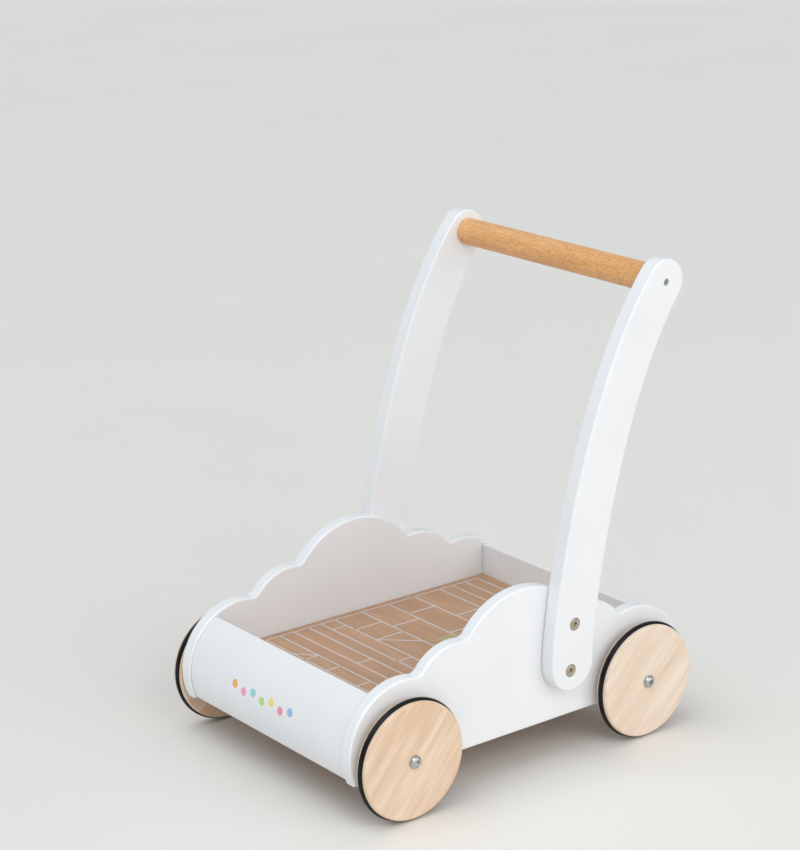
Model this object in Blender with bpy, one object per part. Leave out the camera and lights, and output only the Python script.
"""Wooden baby walker: a push-along cart with cloud-shaped sides, four rubber-tyred wheels and a handle.

X runs across the cart, the front faces -Y, Z is up and the origin is on the ground at the middle of
the cart. Left and right are those of a child who stands behind the handle and looks forward, so the
left side is at +X.
"""

from math import asin, atan2, cos, hypot, pi, radians, sin, sqrt

import bmesh
import bpy

MM = 0.001
SHARP_ANGLE = 32.0

# Wheels
WHEEL_RADIUS = 50.0
WHEEL_THICKNESS = 12.0
WHEEL_RIM_ROUND = 2.2
TYRE_SECTION_RADIUS = 3.0
TYRE_CENTRE_RADIUS = 48.8
TYRE_SIDE_SHIFT = 0.5
TYRE_GAP = 0.27
WHEEL_BORE_RADIUS = 3.5
AXLE_HEIGHT = TYRE_CENTRE_RADIUS + TYRE_SECTION_RADIUS
AXLE_OFFSET = 128.0
WHEEL_SEGMENTS = 36

# Cart body
INNER_HALF_WIDTH = 107.5
SIDE_THICKNESS = 12.0
SIDE_EDGE_ROUND = 2.0
SIDE_BOTTOM = 37.0
FRONT_LOBE = (-125.0, 60.6, 55.2)
SMALL_LOBE = (-71.0, 89.0, 44.5)
MAIN_LOBE = (0.0, 90.3, 72.4)
HOLLOW_RADIUS = 7.5
LOBE_SPACING = 8.0
HOLLOW_SPACING = 3.0
PANEL_THICKNESS = 3.0
PANEL_EDGE_ROUND = 0.5
PANEL_BOTTOM = 38.0
FRONT_PANEL_TOP = 107.3
FRONT_PANEL_RADIUS = 53.2
REAR_PANEL_TOP = 104.0
REAR_PANEL_INNER = 147.6
GROOVE_DEPTH = 5.0
FLOOR_TOP = 75.4
FLOOR_THICKNESS = 6.0
CLEAT_WIDTH = 12.0
CLEAT_HEIGHT = 10.0
CLEAT_HALF_LENGTH = 108.0
SMALL_EDGE_ROUND = 0.8
GAP = 0.3

# Handle
LEG_THICKNESS = 14.5
LEG_EDGE_ROUND = 1.6
LEG_CENTRE_LINE = ((42.5, 88.4), (40.9, 120.6), (65.4, 304.9), (139.6, 400.8))
LEG_BOTTOM_HALF_WIDTH = 22.45
LEG_MIDDLE_EXTRA = 1.2
LEG_TOP_HALF_WIDTH = 19.4
LEG_BOLTS = ((43.9, 124.9), (39.9, 84.5))
HANDLE_CENTRE = (139.6, 400.8)
HANDLE_RADIUS = 12.0

# Fasteners
BOLT_RADIUS = 3.0
CLEARANCE = 0.35
WHEEL_INNER_FACE = 124.5
AXLE_HEAD_RADIUS = 5.5
AXLE_HEAD_HEIGHT = 3.2
HEAD_RIM_HEIGHT = 0.8
DOME_ANGLE = 68.0
KEY_SIZE = 4.0
KEY_DEPTH = 2.1
TIP_CHAMFER = 0.6
NUT_OVERRUN = 1.2
SPACER_RADIUS = 7.0
WASHER_RADIUS = 6.0
WASHER_THICKNESS = 1.6
NUT_ACROSS_FLATS = 10.0
NUT_HEIGHT = 6.0
LEG_HEAD_RADIUS = 5.2
LEG_HEAD_HEIGHT = 2.4
LEG_HEAD_PROUD = 0.15
LEG_HEAD_CHAMFER = (0.4, 0.6)
LEG_SOCKET_FLOOR = 0.5
COUNTERBORE_RADIUS = 5.55
INSERT_RADIUS = 4.6
INSERT_LENGTH = 9.4
SCREW_HEAD_RADIUS = 2.75
SCREW_RADIUS = 1.8
SCREW_RECESS = 1.0
SCREW_HEAD_EDGE = 1.0
SCREW_HEAD_CHAMFER = (0.4, 0.7)
SCREW_REACH = 34.0
SCREW_POINT = 4.0
CONE_GAP = 0.1
CROSS_LENGTH = 3.2
CROSS_WIDTH = 0.76
CROSS_DEPTH = 1.1
THROUGH = 1.0

# Faces that follow from the sizes above
SIDE_OUTER = INNER_HALF_WIDTH + SIDE_THICKNESS
PANEL_HALF_LENGTH = INNER_HALF_WIDTH + GROOVE_DEPTH - GAP
LEG_INNER = SIDE_OUTER + GAP
LEG_OUTER = LEG_INNER + LEG_THICKNESS
WHEEL_OUTER_FACE = WHEEL_INNER_FACE + WHEEL_THICKNESS

WHITE_PAINT = (0.86, 0.87, 0.88, 1.0)
PALE_WOOD = (0.80, 0.62, 0.44, 1.0)
WARM_WOOD = (0.62, 0.34, 0.15, 1.0)
BOARD_WOOD = (0.62, 0.45, 0.31, 1.0)
RUBBER = (0.015, 0.015, 0.016, 1.0)
ZINC = (0.62, 0.63, 0.64, 1.0)
BRONZE = (0.36, 0.24, 0.12, 1.0)
NYLON = (0.78, 0.78, 0.76, 1.0)


def clear_scene():
    for obj in list(bpy.data.objects):
        bpy.data.objects.remove(obj, do_unlink=True)
    bpy.context.scene.unit_settings.system = "METRIC"
    bpy.context.scene.unit_settings.scale_length = 1.0


def material(name, colour, roughness, metallic=0.0):
    mat = bpy.data.materials.new(name)
    mat.use_nodes = True
    shader = mat.node_tree.nodes["Principled BSDF"]
    shader.inputs["Base Color"].default_value = colour
    shader.inputs["Roughness"].default_value = roughness
    shader.inputs["Metallic"].default_value = metallic
    mat.diffuse_color = colour
    return mat


def build(name, points, faces, look, origin=(0.0, 0.0, 0.0)):
    """A mesh object from points in millimetres, placed with its own origin at origin."""
    mesh = bpy.data.meshes.new(name)
    local = [tuple((p[i] - origin[i]) * MM for i in range(3)) for p in points]
    mesh.from_pydata(local, [], faces)
    work = bmesh.new()
    work.from_mesh(mesh)
    bmesh.ops.remove_doubles(work, verts=work.verts, dist=1e-6)
    bmesh.ops.recalc_face_normals(work, faces=work.faces)
    work.to_mesh(mesh)
    work.free()
    mesh.validate()
    obj = bpy.data.objects.new(name, mesh)
    obj.location = tuple(value * MM for value in origin)
    bpy.context.scene.collection.objects.link(obj)
    mesh.shade_smooth()
    mesh.set_sharp_from_angle(angle=radians(SHARP_ANGLE))
    if look:
        mesh.materials.append(material(name + "_look", *look))
    return obj


def inward_offsets(outline):
    """For each outline point, the step that moves both of its edges inward by one."""
    count = len(outline)
    normals = []
    for i, (y, z) in enumerate(outline):
        y_next, z_next = outline[(i + 1) % count]
        length = hypot(y_next - y, z_next - z)
        normals.append((-(z_next - z) / length, (y_next - y) / length))
    steps = []
    for i in range(count):
        (a, b), (c, d) = normals[i - 1], normals[i]
        scale = 1.0 / (1.0 + a * c + b * d)
        steps.append(((a + c) * scale, (b + d) * scale))
    return steps


def plate(name, outline, x_low, x_high, edge_round, look, rings=3, origin=(0.0, 0.0, 0.0)):
    """A board with the given anticlockwise Y-Z outline and both of its rims rounded."""
    steps = inward_offsets(outline)
    levels = []
    for k in range(rings + 1):
        turn = pi / 2 * k / rings
        levels.append((x_low + edge_round * (1 - sin(turn)), edge_round * (1 - cos(turn))))
    levels = list(reversed(levels))
    levels += [(x_low + x_high - x, inset) for x, inset in reversed(levels)]
    count = len(outline)
    points = []
    for x, inset in levels:
        for (y, z), (step_y, step_z) in zip(outline, steps):
            points.append((x, y + step_y * inset, z + step_z * inset))
    faces = [tuple(reversed(range(count)))]
    faces.append(tuple((len(levels) - 1) * count + i for i in range(count)))
    for level in range(len(levels) - 1):
        low, high = level * count, (level + 1) * count
        for i in range(count):
            j = (i + 1) % count
            faces.append((low + i, low + j, high + j, high + i))
    return build(name, points, faces, look, origin)


def prism(name, outline, x_from, x_to, look=None):
    """A straight bar along X with the given anticlockwise Y-Z outline and square ends."""
    low, high = sorted((x_from, x_to))
    count = len(outline)
    points = [(x, y, z) for x in (low, high) for y, z in outline]
    faces = [tuple(reversed(range(count))), tuple(range(count, 2 * count))]
    for i in range(count):
        j = (i + 1) % count
        faces.append((i, j, count + j, count + i))
    return build(name, points, faces, look)


def turned(name, profile, y, z, segments, look, side=1.0, ring=False, phase=0.0):
    """A solid of revolution about a line along X.

    The profile holds (distance out from the middle of the cart, radius) pairs. With ring set, it is
    a closed loop that never reaches the axis.
    """
    reach = [along for along, radius in profile]
    origin = (side * (min(reach) + max(reach)) / 2, y, z)
    points, rows = [], []
    for along, radius in profile:
        row = []
        for k in range(segments if radius > 0 else 1):
            turn = 2 * pi * k / segments + phase
            row.append(len(points))
            points.append((side * along, y + radius * cos(turn), z + radius * sin(turn)))
        rows.append(row)
    if ring:
        rows.append(rows[0])
    faces = []
    for low, high in zip(rows, rows[1:]):
        for k in range(segments):
            j = (k + 1) % segments
            corners = (low[k % len(low)], low[j % len(low)], high[j % len(high)], high[k % len(high)])
            faces.append(tuple(dict.fromkeys(corners)))
    return build(name, points, faces, look, origin)


def box(name, low, high, look, edge=0.0):
    points = [(x, y, z) for x in (low[0], high[0]) for y in (low[1], high[1]) for z in (low[2], high[2])]
    faces = [(0, 1, 3, 2), (4, 6, 7, 5), (0, 4, 5, 1), (2, 3, 7, 6), (0, 2, 6, 4), (1, 5, 7, 3)]
    centre = tuple((a + b) / 2 for a, b in zip(low, high))
    obj = build(name, points, faces, look, centre)
    if edge:
        soften(obj, edge)
    return obj


def soften(obj, width, segments=2):
    """Rounds every sharp edge of the object."""
    work = bmesh.new()
    work.from_mesh(obj.data)
    sharp = [e for e in work.edges if len(e.link_faces) == 2 and e.calc_face_angle(0.0) > radians(SHARP_ANGLE)]
    bmesh.ops.bevel(
        work, geom=sharp, offset=width * MM, segments=segments, profile=0.5, affect="EDGES", clamp_overlap=True
    )
    work.to_mesh(obj.data)
    work.free()
    obj.data.shade_smooth()
    obj.data.set_sharp_from_angle(angle=radians(SHARP_ANGLE))


def cut(target, cutters):
    """Takes the cutters out of the target and then discards them."""
    for cutter in cutters:
        cutter.hide_render = True
        cutter.display_type = "WIRE"
        modifier = target.modifiers.new("bore", "BOOLEAN")
        modifier.operation = "DIFFERENCE"
        modifier.solver = "EXACT"
        modifier.object = cutter
    bpy.context.view_layer.update()
    graph = bpy.context.evaluated_depsgraph_get()
    solid = bpy.data.meshes.new_from_object(target.evaluated_get(graph))
    target.modifiers.clear()
    target.data = solid
    for cutter in cutters:
        bpy.data.objects.remove(cutter, do_unlink=True)
    solid.shade_smooth()
    solid.set_sharp_from_angle(angle=radians(SHARP_ANGLE))


def drill(side, x_low, x_high, y, z, radius, segments=16):
    """A plain round cutter along X."""
    profile = [(x_low, 0.0), (x_low, radius), (x_high, radius), (x_high, 0.0)]
    return turned("drill", profile, y, z, segments, None, side)


def hex_bar(name, side, x_low, x_high, y, z, across_flats, look=None):
    """A six-sided bar along X."""
    radius = across_flats / 2 / cos(pi / 6)
    profile = [(x_low, 0.0), (x_low, radius), (x_high, radius), (x_high, 0.0)]
    return turned(name, profile, y, z, 6, look, side, phase=pi / 6)


def hex_key(side, x_low, x_high, y, z):
    """A cutter for a bolt's key socket."""
    return hex_bar("hex_key", side, x_low, x_high, y, z, KEY_SIZE)


def crossing(circle_a, circle_b):
    """The higher of the two points where two circles meet, as (y, z)."""
    (ya, za, ra), (yb, zb, rb) = circle_a, circle_b
    apart = hypot(yb - ya, zb - za)
    along = (ra * ra - rb * rb + apart * apart) / (2 * apart)
    off = sqrt(ra * ra - along * along)
    uy, uz = (yb - ya) / apart, (zb - za) / apart
    found = [(ya + along * uy - s * off * uz, za + along * uz + s * off * uy) for s in (1, -1)]
    return max(found, key=lambda p: p[1])


def hollow(lobe_a, lobe_b):
    """The small circle that rounds the corner between two lobes, and where it touches each of them."""
    wide_a, wide_b = [(y, z, radius + HOLLOW_RADIUS) for y, z, radius in (lobe_a, lobe_b)]
    centre = crossing(wide_a, wide_b)
    touches = []
    for y, z, radius in (lobe_a, lobe_b):
        share = radius / (radius + HOLLOW_RADIUS)
        touches.append((y + (centre[0] - y) * share, z + (centre[1] - z) * share))
    return (*centre, HOLLOW_RADIUS), touches


def arc(circle, start, end, spacing, way=-1):
    """Points on the circle from start to end without the last, clockwise as seen from +X unless way is 1."""
    y, z, radius = circle
    first = atan2(start[1] - z, start[0] - y)
    turned_by = way * ((way * (atan2(end[1] - z, end[0] - y) - first)) % (2 * pi))
    count = max(2, round(abs(turned_by) * radius / spacing))
    turns = [first + turned_by * k / count for k in range(count)]
    return [(y + radius * cos(t), z + radius * sin(t)) for t in turns]


def cloud_outline():
    """The side board's outline, anticlockwise as seen from +X: a cloud of five lobes on a straight base."""
    y, z, radius = FRONT_LOBE
    corner = (y - sqrt(radius * radius - (SIDE_BOTTOM - z) ** 2), SIDE_BOTTOM)
    peak = (MAIN_LOBE[0], MAIN_LOBE[1] + MAIN_LOBE[2])
    first, first_touches = hollow(FRONT_LOBE, SMALL_LOBE)
    second, second_touches = hollow(SMALL_LOBE, MAIN_LOBE)
    half = arc(FRONT_LOBE, corner, first_touches[0], LOBE_SPACING)
    half += arc(first, *first_touches, HOLLOW_SPACING, 1)
    half += arc(SMALL_LOBE, first_touches[1], second_touches[0], LOBE_SPACING)
    half += arc(second, *second_touches, HOLLOW_SPACING, 1)
    half += arc(MAIN_LOBE, second_touches[1], peak, LOBE_SPACING)
    other = [(-py, pz) for py, pz in half]
    clockwise = half + [peak] + list(reversed(other))
    return list(reversed(clockwise))


def leg_outline():
    """The handle leg's outline, anticlockwise as seen from +X: a curved, tapering bar with round ends."""
    (y0, z0), (y1, z1), (y2, z2), (y3, z3) = LEG_CENTRE_LINE
    spans = 16
    front, rear = [], []
    for k in range(spans + 1):
        t = k / spans
        s = 1 - t
        y = s**3 * y0 + 3 * s * s * t * y1 + 3 * s * t * t * y2 + t**3 * y3
        z = s**3 * z0 + 3 * s * s * t * z1 + 3 * s * t * t * z2 + t**3 * z3
        dy = 3 * s * s * (y1 - y0) + 6 * s * t * (y2 - y1) + 3 * t * t * (y3 - y2)
        dz = 3 * s * s * (z1 - z0) + 6 * s * t * (z2 - z1) + 3 * t * t * (z3 - z2)
        length = hypot(dy, dz)
        half = LEG_BOTTOM_HALF_WIDTH * s + LEG_TOP_HALF_WIDTH * t + 4 * LEG_MIDDLE_EXTRA * s * t
        front.append((y - half * dz / length, z + half * dy / length))
        rear.append((y + half * dz / length, z - half * dy / length))

    def round_end(centre, start, half_width, steps=12):
        first = atan2(start[1] - centre[1], start[0] - centre[0])
        turns = [first + pi * k / steps for k in range(1, steps)]
        return [(centre[0] + half_width * cos(t), centre[1] + half_width * sin(t)) for t in turns]

    top = round_end((y3, z3), rear[-1], LEG_TOP_HALF_WIDTH)
    bottom = round_end((y0, z0), front[0], LEG_BOTTOM_HALF_WIDTH)
    return rear + top + list(reversed(front)) + bottom


def wheel_profile():
    """The wheel's section, once round: bore, outer face, rounded rim, tyre groove, rim, inner face."""
    half = WHEEL_THICKNESS / 2
    middle = WHEEL_INNER_FACE + half
    outer = []
    for k in range(3):
        turn = pi / 4 * k
        inset = WHEEL_RIM_ROUND * (1 - cos(turn))
        outer.append((half - inset, WHEEL_RADIUS - WHEEL_RIM_ROUND * (1 - sin(turn))))
    inner = [(-along, radius) for along, radius in reversed(outer)]
    groove_radius = TYRE_SECTION_RADIUS + TYRE_GAP
    reach = asin((WHEEL_RADIUS - TYRE_CENTRE_RADIUS) / groove_radius)
    groove = []
    for k in range(6):
        turn = reach - (pi + 2 * reach) * k / 5
        groove.append(
            (groove_radius * cos(turn) - TYRE_SIDE_SHIFT, TYRE_CENTRE_RADIUS + groove_radius * sin(turn))
        )
    bore = [(-half, WHEEL_BORE_RADIUS), (half, WHEEL_BORE_RADIUS)]
    return [(middle + along, radius) for along, radius in bore + outer + groove + inner]


def make_wheel(place, side, y):
    turned("wheel_" + place, wheel_profile(), y, AXLE_HEIGHT, WHEEL_SEGMENTS, (PALE_WOOD, 0.5), side, ring=True)
    middle = WHEEL_INNER_FACE + WHEEL_THICKNESS / 2 - TYRE_SIDE_SHIFT
    section = []
    for k in range(8):
        turn = pi / 2 + 2 * pi * k / 8
        section.append(
            (middle + TYRE_SECTION_RADIUS * cos(turn), TYRE_CENTRE_RADIUS + TYRE_SECTION_RADIUS * sin(turn))
        )
    turned("tyre_" + place, section, y, AXLE_HEIGHT, WHEEL_SEGMENTS, (RUBBER, 0.45), side, ring=True)


def dome(base, height, radius, steps=3):
    """Profile points of a domed bolt head from its rim at base to its flat crown."""
    last = radians(DOME_ANGLE)
    turns = [last * k / steps for k in range(steps + 1)]
    return [(base + height * sin(t) / sin(last), radius * cos(t)) for t in turns]


def make_axle(place, side, y):
    """Everything that holds one wheel: bolt, spacer, washer and lock nut."""
    z = AXLE_HEIGHT
    seat = WHEEL_OUTER_FACE + GAP
    washer_face = INNER_HALF_WIDTH - GAP
    nut_face = washer_face - WASHER_THICKNESS - GAP
    crown = seat + AXLE_HEAD_HEIGHT
    profile = shank(nut_face - NUT_HEIGHT - NUT_OVERRUN, seat) + [(seat, AXLE_HEAD_RADIUS)]
    profile += dome(seat + HEAD_RIM_HEIGHT, AXLE_HEAD_HEIGHT - HEAD_RIM_HEIGHT, AXLE_HEAD_RADIUS)
    profile += [(crown, 0.0)]
    bolt = turned("axle_bolt_" + place, profile, y, z, 20, (ZINC, 0.3, 1.0), side)
    cut(bolt, [hex_key(side, crown - KEY_DEPTH, crown + THROUGH, y, z)])
    ring_about(
        "axle_spacer_" + place, SIDE_OUTER + GAP, WHEEL_INNER_FACE - GAP, SPACER_RADIUS, y, z, (NYLON, 0.45), side
    )
    ring_about(
        "axle_washer_" + place, washer_face - WASHER_THICKNESS, washer_face, WASHER_RADIUS, y, z,
        (ZINC, 0.35, 1.0), side,
    )
    low, high = nut_face - NUT_HEIGHT, nut_face
    nut = hex_bar("axle_nut_" + place, side, low, high, y, z, NUT_ACROSS_FLATS, (ZINC, 0.35, 1.0))
    cut(nut, [drill(side, low - THROUGH, high + THROUGH, y, z, BOLT_RADIUS + CLEARANCE)])


def shank(end, seat):
    """Profile points of a plain bolt shank from its tip to the underside of its head."""
    return [(end, 0.0), (end, BOLT_RADIUS - TIP_CHAMFER), (end + TIP_CHAMFER, BOLT_RADIUS), (seat, BOLT_RADIUS)]


def ring_about(name, low, high, radius, y, z, look, side, segments=16):
    """A flat ring on a bolt's line."""
    hole = BOLT_RADIUS + CLEARANCE
    profile = [(low, hole), (high, hole), (high, radius), (low, radius)]
    turned(name, profile, y, z, segments, look, side, ring=True)


def make_side_panel(name, side):
    low, high = sorted((side * INNER_HALF_WIDTH, side * SIDE_OUTER))
    panel = plate(name, cloud_outline(), low, high, SIDE_EDGE_ROUND, (WHITE_PAINT, 0.3))
    cutters = []
    for y in (-AXLE_OFFSET, AXLE_OFFSET):
        cutters.append(
            drill(side, INNER_HALF_WIDTH - THROUGH, SIDE_OUTER + THROUGH, y, AXLE_HEIGHT, BOLT_RADIUS + CLEARANCE)
        )
    for y, z in LEG_BOLTS:
        low_end = SIDE_OUTER - INSERT_LENGTH - 2 * GAP
        cutters.append(drill(side, low_end, SIDE_OUTER + THROUGH, y, z, INSERT_RADIUS + GAP))
    for outline in (front_panel_outline(GAP), rear_panel_outline(GAP)):
        reach = (side * (INNER_HALF_WIDTH - THROUGH), side * (INNER_HALF_WIDTH + GROOVE_DEPTH))
        cutters.append(prism("groove", outline, *reach))
    cut(panel, cutters)


def front_panel_outline(grow=0.0, steps=13):
    """A thin bent board that follows the sides' front lobe, or the groove around it when grow is set."""
    y, z, _ = FRONT_LOBE
    outer, inner = FRONT_PANEL_RADIUS + grow, FRONT_PANEL_RADIUS - PANEL_THICKNESS - grow
    low = asin((PANEL_BOTTOM - z) / FRONT_PANEL_RADIUS) - grow / outer
    high = asin((FRONT_PANEL_TOP - z) / FRONT_PANEL_RADIUS) + grow / outer
    soft = PANEL_EDGE_ROUND

    def edge(angle, inward):
        """A long edge of the board, from its outer face to its inner face."""
        back = angle + soft / outer * inward
        return [(outer, back), (outer - soft, angle), (inner + soft, angle), (inner, back)]

    start, end = high - soft / outer, low + soft / outer
    polar = edge(high, -1)
    polar += [(inner, start + (end - start) * k / steps) for k in range(1, steps)]
    polar += list(reversed(edge(low, 1)))
    polar += [(outer, end + (start - end) * k / steps) for k in range(1, steps)]
    return anticlockwise([(y - radius * cos(angle), z + radius * sin(angle)) for radius, angle in polar])


def rear_panel_outline(grow=0.0):
    """The flat rear board's section, or the groove around it when grow is set."""
    return rounded_rectangle(
        REAR_PANEL_INNER - grow, REAR_PANEL_INNER + PANEL_THICKNESS + grow,
        PANEL_BOTTOM - grow, REAR_PANEL_TOP + grow, PANEL_EDGE_ROUND,
    )


def signed_area(outline):
    following = outline[1:] + outline[:1]
    return sum(a[0] * b[1] - b[0] * a[1] for a, b in zip(outline, following)) / 2


def anticlockwise(outline):
    return outline if signed_area(outline) > 0 else list(reversed(outline))


def rounded_rectangle(y_low, y_high, z_low, z_high, radius, steps=2):
    corners = [
        (y_high - radius, z_high - radius), (y_low + radius, z_high - radius),
        (y_low + radius, z_low + radius), (y_high - radius, z_low + radius),
    ]
    points = []
    for quarter, (y, z) in enumerate(corners):
        for k in range(steps + 1):
            turn = pi / 2 * (quarter + k / steps)
            points.append((y + radius * cos(turn), z + radius * sin(turn)))
    return points


def make_tray():
    """The two thin cross boards, whose ends sit in grooves in the sides, and the floor on its cleats."""
    for name, outline in (("front_panel", front_panel_outline()), ("rear_panel", rear_panel_outline())):
        prism(name, outline, -PANEL_HALF_LENGTH, PANEL_HALF_LENGTH, (WHITE_PAINT, 0.3))
    half = INNER_HALF_WIDTH - GAP
    y, z, _ = FRONT_LOBE
    inner = FRONT_PANEL_RADIUS - PANEL_THICKNESS
    floor_front = y - sqrt(inner * inner - (FLOOR_TOP - z) ** 2) + GAP
    floor_bottom = FLOOR_TOP - FLOOR_THICKNESS
    box(
        "floor_board", (-half, floor_front, floor_bottom), (half, REAR_PANEL_INNER - GAP, FLOOR_TOP),
        (BOARD_WOOD, 0.5), PANEL_EDGE_ROUND,
    )
    for name, side in (("left", 1), ("right", -1)):
        low, high = sorted((side * (half - CLEAT_WIDTH), side * half))
        top = floor_bottom - GAP
        box(
            "floor_cleat_" + name, (low, -CLEAT_HALF_LENGTH, top - CLEAT_HEIGHT), (high, CLEAT_HALF_LENGTH, top),
            (PALE_WOOD, 0.6), SMALL_EDGE_ROUND,
        )


def make_leg(name, side):
    low, high = sorted((side * LEG_INNER, side * LEG_OUTER))
    leg = plate("handle_leg_" + name, anticlockwise(leg_outline()), low, high, LEG_EDGE_ROUND, (WHITE_PAINT, 0.3))
    cutters = []
    for y, z in LEG_BOLTS:
        cutters.append(drill(side, LEG_INNER - THROUGH, LEG_OUTER + THROUGH, y, z, BOLT_RADIUS + CLEARANCE))
        floor = LEG_OUTER - LEG_HEAD_HEIGHT - GAP
        cutters.append(drill(side, floor, LEG_OUTER + THROUGH, y, z, COUNTERBORE_RADIUS, 20))
    cutters.append(screw_hole(side))
    cut(leg, cutters)
    for place, (y, z) in zip(("low", "high"), reversed(LEG_BOLTS)):
        make_leg_bolt(name, place, side, y, z)
    make_handle_screw(name, side)


def screw_levels():
    """Where the handle screw's head ends, where its cone ends and where it stops inside the bar."""
    crown = LEG_OUTER - SCREW_RECESS
    neck = crown - SCREW_HEAD_EDGE - (SCREW_HEAD_RADIUS - SCREW_RADIUS)
    return crown, neck, SIDE_OUTER - SCREW_REACH


def screw_hole(side):
    y, z = HANDLE_CENTRE
    crown, neck, _ = screw_levels()
    wide, narrow = SCREW_HEAD_RADIUS + GAP, SCREW_RADIUS + GAP
    low, high = LEG_INNER - THROUGH, LEG_OUTER + THROUGH
    profile = [(low, 0.0), (low, narrow), (neck, narrow), (crown - SCREW_HEAD_EDGE, wide), (high, wide), (high, 0.0)]
    return turned("screw_hole", profile, y, z, 16, None, side)


def make_handle_screw(name, side):
    """A countersunk screw that holds the bar, with its cross recess."""
    y, z = HANDLE_CENTRE
    crown, neck, tip = screw_levels()
    profile = [(tip, 0.0), (tip + SCREW_POINT, SCREW_RADIUS), (neck, SCREW_RADIUS)]
    drop, inset = SCREW_HEAD_CHAMFER
    profile += [(crown - SCREW_HEAD_EDGE + CONE_GAP, SCREW_HEAD_RADIUS), (crown - drop, SCREW_HEAD_RADIUS)]
    profile += [(crown, SCREW_HEAD_RADIUS - inset), (crown, 0.0)]
    screw = turned("handle_screw_" + name, profile, y, z, 16, (ZINC, 0.35, 1.0), side)
    low, high = sorted((side * (crown - CROSS_DEPTH), side * (crown + THROUGH)))
    long, short = CROSS_LENGTH / 2, CROSS_WIDTH / 2
    cutters = [
        box("cross", (low, y - long, z - short), (high, y + long, z + short), None),
        box("cross", (low, y - short, z - long), (high, y + short, z + long), None),
    ]
    cut(screw, cutters)


def make_leg_bolt(name, place, side, y, z):
    """A flat-headed bolt with a key socket, and the sleeve in the side board that it turns into."""
    top, rim = LEG_OUTER + LEG_HEAD_PROUD, LEG_HEAD_RADIUS
    seat = LEG_OUTER - LEG_HEAD_HEIGHT
    low, high = SIDE_OUTER - INSERT_LENGTH, SIDE_OUTER - GAP
    drop, inset = LEG_HEAD_CHAMFER
    profile = shank(low, seat) + [(seat, rim), (top - drop, rim), (top, rim - inset), (top, 0.0)]
    bolt = turned("leg_bolt_%s_%s" % (place, name), profile, y, z, 20, (BRONZE, 0.35, 1.0), side)
    cut(bolt, [hex_key(side, seat + LEG_SOCKET_FLOOR, top + THROUGH, y, z)])
    ring_about("leg_insert_%s_%s" % (place, name), low, high, INSERT_RADIUS, y, z, (BRONZE, 0.4, 1.0), side)


def make_handle_bar():
    y, z = HANDLE_CENTRE
    end, soft = SIDE_OUTER, SMALL_EDGE_ROUND
    profile = [(-end, 0.0), (-end, HANDLE_RADIUS - soft), (soft - end, HANDLE_RADIUS)]
    profile += [(end - soft, HANDLE_RADIUS), (end, HANDLE_RADIUS - soft), (end, 0.0)]
    bar = turned("handle_bar", profile, y, z, 32, (WARM_WOOD, 0.45))
    _, _, tip = screw_levels()
    cut(bar, [drill(side, tip - THROUGH, end + THROUGH, y, z, SCREW_RADIUS + GAP) for side in (-1, 1)])


def main():
    clear_scene()
    make_side_panel("side_panel_left", 1)
    make_side_panel("side_panel_right", -1)
    make_tray()
    for name, side in (("left", 1), ("right", -1)):
        make_leg(name, side)
        for row, y in (("front", -AXLE_OFFSET), ("rear", AXLE_OFFSET)):
            make_wheel("%s_%s" % (row, name), side, y)
            make_axle("%s_%s" % (row, name), side, y)
    make_handle_bar()


main()
